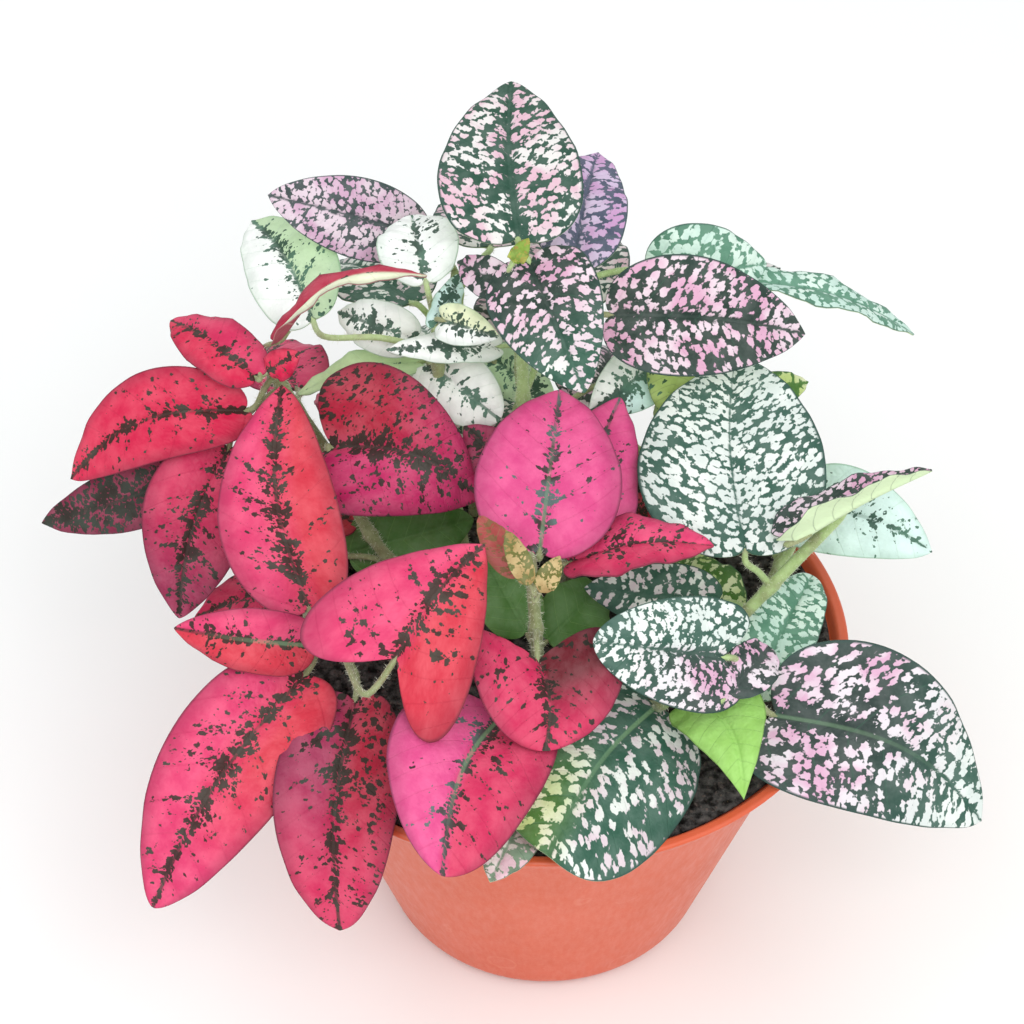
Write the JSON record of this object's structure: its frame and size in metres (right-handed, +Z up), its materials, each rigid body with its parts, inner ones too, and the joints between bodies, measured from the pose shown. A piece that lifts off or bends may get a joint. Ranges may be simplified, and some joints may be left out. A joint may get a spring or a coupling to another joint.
{
  "type": "potted polka dot plant",
  "caption": "Tapered round plastic pot of soil with leafy polka dot plant stems, whose rose, white and green speckled oval leaves mound up and spread over the rim.",
  "frame": {"origin": "centre of the pot's flat underside", "axes": "+Z up along the pot's axis, -Y towards the side the picture shows, +X to that view's right"},
  "size_m": [0.2016, 0.1825, 0.1685],
  "materials": {
    "terracotta_plastic": "satin",
    "potting_soil": "matte",
    "rose_foliage": "satin",
    "white_foliage": "satin",
    "speckled_foliage": "satin"
  },
  "bodies": {
    "root": {"pot": "terracotta_plastic", "soil": "potting_soil", "rose_stem_1": "rose_foliage", "rose_stem_2": "rose_foliage", "rose_stem_3": "rose_foliage", "rose_stem_4": "rose_foliage", "rose_stem_5": "rose_foliage", "white_stem_1": "white_foliage", "white_stem_2": "white_foliage", "white_stem_3": "white_foliage", "speckled_stem_1": "speckled_foliage", "speckled_stem_2": "speckled_foliage", "speckled_stem_3": "speckled_foliage", "speckled_stem_4": "speckled_foliage", "speckled_stem_5": "speckled_foliage", "speckled_stem_6": "speckled_foliage"}
  },
  "joints": []
}
